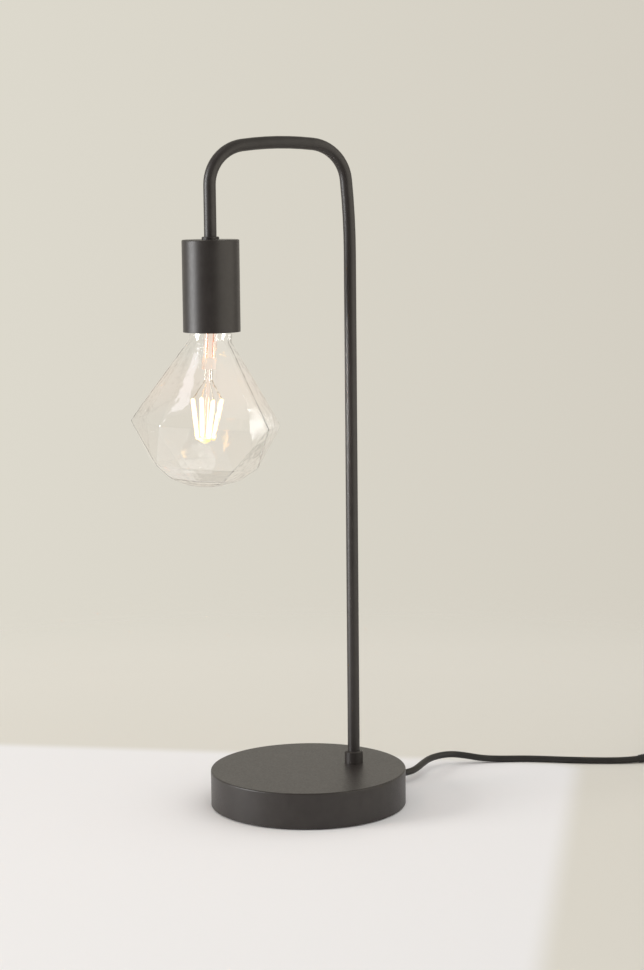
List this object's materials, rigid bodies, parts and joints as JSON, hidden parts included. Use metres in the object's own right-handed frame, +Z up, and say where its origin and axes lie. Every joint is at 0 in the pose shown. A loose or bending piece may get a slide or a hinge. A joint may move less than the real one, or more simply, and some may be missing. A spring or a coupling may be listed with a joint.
{
  "type": "table lamp",
  "caption": "Table lamp with a round weighted foot, a bent tube arm, a cup over the bulb holder, a faceted glass bulb that screws out, and a mains cord with a switch and a plug.",
  "frame": {"origin": "centre of the foot's underside, on the surface that the lamp stands on", "axes": "+Z up; the arm reaches towards -X; the post stands at +X and the cord leaves on that side"},
  "size_m": [0.6509, 0.1841, 0.5491],
  "materials": {
    "powder_coat_black": "matt black powder coat",
    "foam_pad": "black foam rubber",
    "zinc_steel": "zinc-plated steel",
    "cast_iron": "as cast",
    "cord_pvc": "matt black PVC",
    "holder_plastic": "moulded black thermoplastic",
    "holder_ceramic": "glazed white",
    "brass": "stamped brass",
    "live_core": "brown PVC",
    "neutral_core": "blue PVC",
    "bulb_metal": "nickel-plated",
    "black_glass": "black glass",
    "circuit_board": "green board",
    "clear_glass": "clear",
    "led_phosphor": "glowing yellow silicone",
    "switch_plastic": "moulded black plastic",
    "pin_metal": "nickel-plated",
    "pin_sleeve": "black sleeve"
  },
  "bodies": {
    "lamp": {"base_shell": "powder_coat_black", "foot_collar": "powder_coat_black", "stem_tube": "powder_coat_black", "socket_cup": "powder_coat_black", "cup_ring_nut": "powder_coat_black", "base_pad": "foam_pad", "base_plate": "zinc_steel", "base_plate_screws": "zinc_steel", "stem_washer": "zinc_steel", "stem_nut": "zinc_steel", "holder_lock_screw": "zinc_steel", "terminal_screws": "zinc_steel", "switch_screws": "zinc_steel", "base_weight": "cast_iron", "cord_grommet": "cord_pvc", "cord_stop": "cord_pvc", "stem_bush": "cord_pvc", "inner_cable": "cord_pvc", "cord_lead": "cord_pvc", "cord_run": "cord_pvc", "cord_coil": "cord_pvc", "cord_tail": "cord_pvc", "switch_cord_ends": "cord_pvc", "plug_body": "cord_pvc", "holder_cap": "holder_plastic", "holder_skirt": "holder_plastic", "holder_insert": "holder_ceramic", "screw_shell": "brass", "centre_contact": "brass", "side_contact": "brass", "terminal_blocks": "brass", "switch_contacts": "brass", "switch_bridge": "brass", "live_core": "live_core", "switch_live_cores": "live_core", "neutral_core": "neutral_core", "switch_neutral_core": "neutral_core", "switch_base": "switch_plastic", "switch_cover": "switch_plastic", "switch_grips": "switch_plastic", "plug_pins": "pin_metal", "plug_sleeves": "pin_sleeve"},
    "bulb_centre": {"bulb_contact": "bulb_metal", "bulb_insulator": "black_glass"},
    "bulb": {"bulb_cap": "bulb_metal", "bulb_driver": "circuit_board", "bulb_leads": "bulb_metal", "bulb_stem": "clear_glass", "bulb_glass": "clear_glass", "bulb_filaments": "led_phosphor", "filament_wires": "bulb_metal", "filament_hub": "bulb_metal"},
    "rocker": {"switch_rocker": "switch_plastic"}
  },
  "joints": [
    {"name": "bulb_travel", "type": "slide", "parent": "lamp", "child": "bulb_centre", "axis": [0, 0, -1], "range_m": [0, 0.02187]},
    {"name": "bulb_turn", "type": "hinge", "parent": "bulb_centre", "child": "bulb", "pos_m": [-0.07817, 0, 0.408], "axis": [0, 0, -1], "range_deg": [0, 2160]},
    {"name": "rocker_tilt", "type": "hinge", "parent": "lamp", "child": "rocker", "pos_m": [0.375, -0.018, 0.0142], "axis": [-0.3584, -0.9336, 0], "range_deg": [0, 20]}
  ],
  "couplings": [
    {"joint": "bulb_travel", "follows": "bulb_turn", "m_per_rad": 0.00057757}
  ]
}
